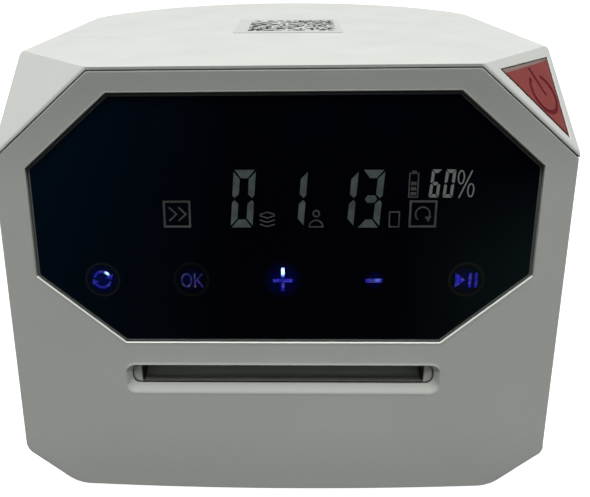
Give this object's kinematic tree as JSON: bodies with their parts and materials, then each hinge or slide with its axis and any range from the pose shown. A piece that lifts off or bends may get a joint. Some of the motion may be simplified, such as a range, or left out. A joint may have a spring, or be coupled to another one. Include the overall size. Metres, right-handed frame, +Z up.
{
  "type": "card dispensing machine",
  "caption": "Counter-top card dealing machine: a leaning touch-glass front with a card slot, a card bay open at the back, and a housing that turns on a round base.",
  "frame": {"origin": "on the turning axis of the housing, at the surface that the feet stand on; this is also the bottom centre of the bounding box", "axes": "+Z up along the turning axis; the leaning front with the card slot faces -Y; +X is to the right of a person facing the front"},
  "size_m": [0.17, 0.2112, 0.1387],
  "materials": {
    "shell_white": "fine-textured moulded plastic",
    "cover_white": "fine-textured moulded plastic",
    "throat_white": "smooth moulded plastic",
    "black_glass": "back-printed black touch glass, polished",
    "lcd_figures": "dim grey-green display figures",
    "lcd_pictograms": "dim grey display pictograms",
    "lit_symbols": "blue back-lit touch symbols",
    "display_frame": "display module case",
    "circuit_board": "green solder mask",
    "board_components": "black components",
    "spring_steel": "bright spring wire",
    "steel": "ground steel",
    "screw_steel": "zinc-plated screws",
    "motor_can": "drawn steel can",
    "bronze": "sintered bronze",
    "tray_white": "moulded plastic",
    "bay_grey": "grey moulded plastic",
    "bezel_grey": "dark grey moulded plastic",
    "press_grey": "painted cast weight",
    "gear_plastic": "natural acetal",
    "glide_plastic": "low-friction plastic",
    "base_dark": "dark moulded plastic",
    "rubber": "black rubber",
    "tyre_rubber": "ground grey rubber",
    "cell_wrap": "shrink wrap",
    "cable_grey": "flat ribbon cable",
    "port_black": "black moulded socket",
    "label_white": "blank paper label",
    "button_red": "red moulded button"
  },
  "bodies": {
    "base": {"base_plate": "base_dark", "rubber_feet": "rubber", "base_gear": "gear_plastic", "glide_ring": "glide_plastic", "centre_spindle": "steel", "spindle_nut": "screw_steel", "base_screws": "screw_steel"},
    "housing": {"main_shell": "shell_white", "front_cover": "cover_white", "glass_panel": "black_glass", "display_digits": "lcd_figures", "display_pictograms": "lcd_pictograms", "key_symbols": "lit_symbols", "display_module": "display_frame", "touch_board": "circuit_board", "touch_springs": "spring_steel", "exit_throat": "throat_white", "bottom_tray": "tray_white", "tray_screws": "screw_steel", "spindle_bush": "bronze", "card_bed": "bay_grey", "side_plate_left": "bay_grey", "side_plate_right": "bay_grey", "bay_roof": "bay_grey", "gate_wall": "bay_grey", "separator_pads": "rubber", "rear_bezel": "bezel_grey", "guide_rod": "steel", "shaft_bushes": "bronze", "sensor_bar": "bay_grey", "card_sensors": "board_components", "turn_motor": "motor_can", "feed_motor": "motor_can", "eject_motor": "motor_can", "battery_cells": "cell_wrap", "battery_cradle": "board_components", "main_board": "circuit_board", "board_parts": "board_components", "board_standoffs": "screw_steel", "ribbon_cable": "cable_grey", "charge_port": "port_black", "switch_board": "circuit_board", "blank_label": "label_white"},
    "turn_drive": {"turn_motor_shaft": "steel", "turn_pinion": "gear_plastic"},
    "feed_roller": {"feed_shaft": "steel", "feed_tyres": "tyre_rubber", "feed_gear": "gear_plastic"},
    "feed_drive": {"feed_motor_shaft": "steel", "feed_pinion": "bronze"},
    "eject_roller": {"eject_shaft": "steel", "eject_tyres": "tyre_rubber", "eject_gear": "gear_plastic"},
    "eject_drive": {"eject_motor_shaft": "steel", "eject_pinion": "bronze"},
    "pinch_roller": {"pinch_shaft": "steel", "pinch_tyres": "tyre_rubber"},
    "card_press": {"press_block": "press_grey", "slide_bush": "bronze"},
    "button": {"power_button": "button_red"}
  },
  "joints": [
    {"name": "housing_turn", "type": "hinge", "parent": "base", "child": "housing", "pos_m": [0, 0, 0.009], "axis": [0, 0, 1], "continuous": true},
    {"name": "turn_pinion_spin", "type": "hinge", "parent": "housing", "child": "turn_drive", "pos_m": [0, 0.042, 0.0065], "axis": [0, 0, 1], "continuous": true},
    {"name": "feed_spin", "type": "hinge", "parent": "housing", "child": "feed_roller", "pos_m": [0, -0.002, 0.039], "axis": [1, 0, 0], "continuous": true},
    {"name": "feed_pinion_spin", "type": "hinge", "parent": "housing", "child": "feed_drive", "pos_m": [0, 0.01073, 0.02627], "axis": [1, 0, 0], "continuous": true},
    {"name": "eject_spin", "type": "hinge", "parent": "housing", "child": "eject_roller", "pos_m": [0, -0.06, 0.039], "axis": [1, 0, 0], "continuous": true},
    {"name": "eject_pinion_spin", "type": "hinge", "parent": "housing", "child": "eject_drive", "pos_m": [0, -0.07273, 0.02627], "axis": [1, 0, 0], "continuous": true},
    {"name": "pinch_spin", "type": "hinge", "parent": "housing", "child": "pinch_roller", "pos_m": [0, -0.06, 0.0534], "axis": [1, 0, 0], "continuous": true},
    {"name": "press_lift", "type": "slide", "parent": "housing", "child": "card_press", "axis": [0, 0, 1], "range_m": [0, 0.052]},
    {"name": "power_press", "type": "slide", "parent": "housing", "child": "button", "axis": [-0.4827, 0.4911, -0.7251], "range_m": [0, 0.0008], "stiffness_N_per_m": 800, "springref_m": -0.0008}
  ],
  "couplings": [
    {"joint": "turn_pinion_spin", "follows": "housing_turn", "ratio": 4},
    {"joint": "feed_pinion_spin", "follows": "feed_spin", "ratio": -2},
    {"joint": "eject_pinion_spin", "follows": "eject_spin", "ratio": -2},
    {"joint": "pinch_spin", "follows": "eject_spin", "ratio": -1.3333}
  ]
}
